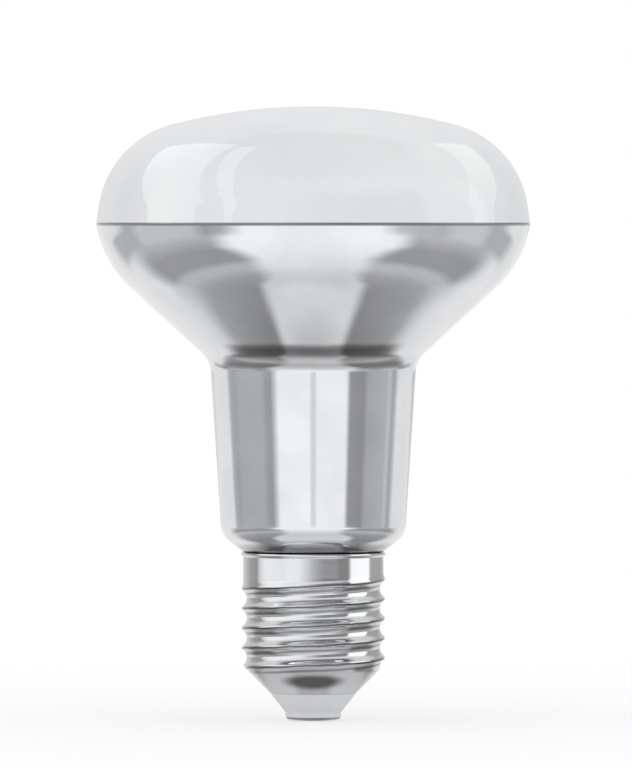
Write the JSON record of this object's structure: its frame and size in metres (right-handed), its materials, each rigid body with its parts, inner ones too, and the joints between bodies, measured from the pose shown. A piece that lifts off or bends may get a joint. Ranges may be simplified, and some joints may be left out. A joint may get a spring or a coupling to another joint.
{
  "type": "reflector bulb",
  "caption": "Reflector lamp bulb, 80 mm across, with an opal front dome, a mirrored cone and neck and a screw cap.",
  "frame": {"origin": "on the lamp's axis, at the tip of the centre contact", "axes": "+Z along the lamp's axis from the centre contact to the front dome; +X and +Y are free, and the upper end of the thread lies on the side of +Y"},
  "size_m": [0.08, 0.08, 0.1132],
  "materials": {
    "bulb_glass": "glossy, white coating in the dome and mirror coating below the seam",
    "cap_metal": "bright nickel plate on rolled sheet",
    "cap_insulator": "smooth pale grey",
    "contact_metal": "tinned, satin"
  },
  "bodies": {
    "root": {"glass_bulb": "bulb_glass", "screw_shell": "cap_metal", "insulator": "cap_insulator", "centre_contact": "contact_metal"}
  },
  "joints": []
}
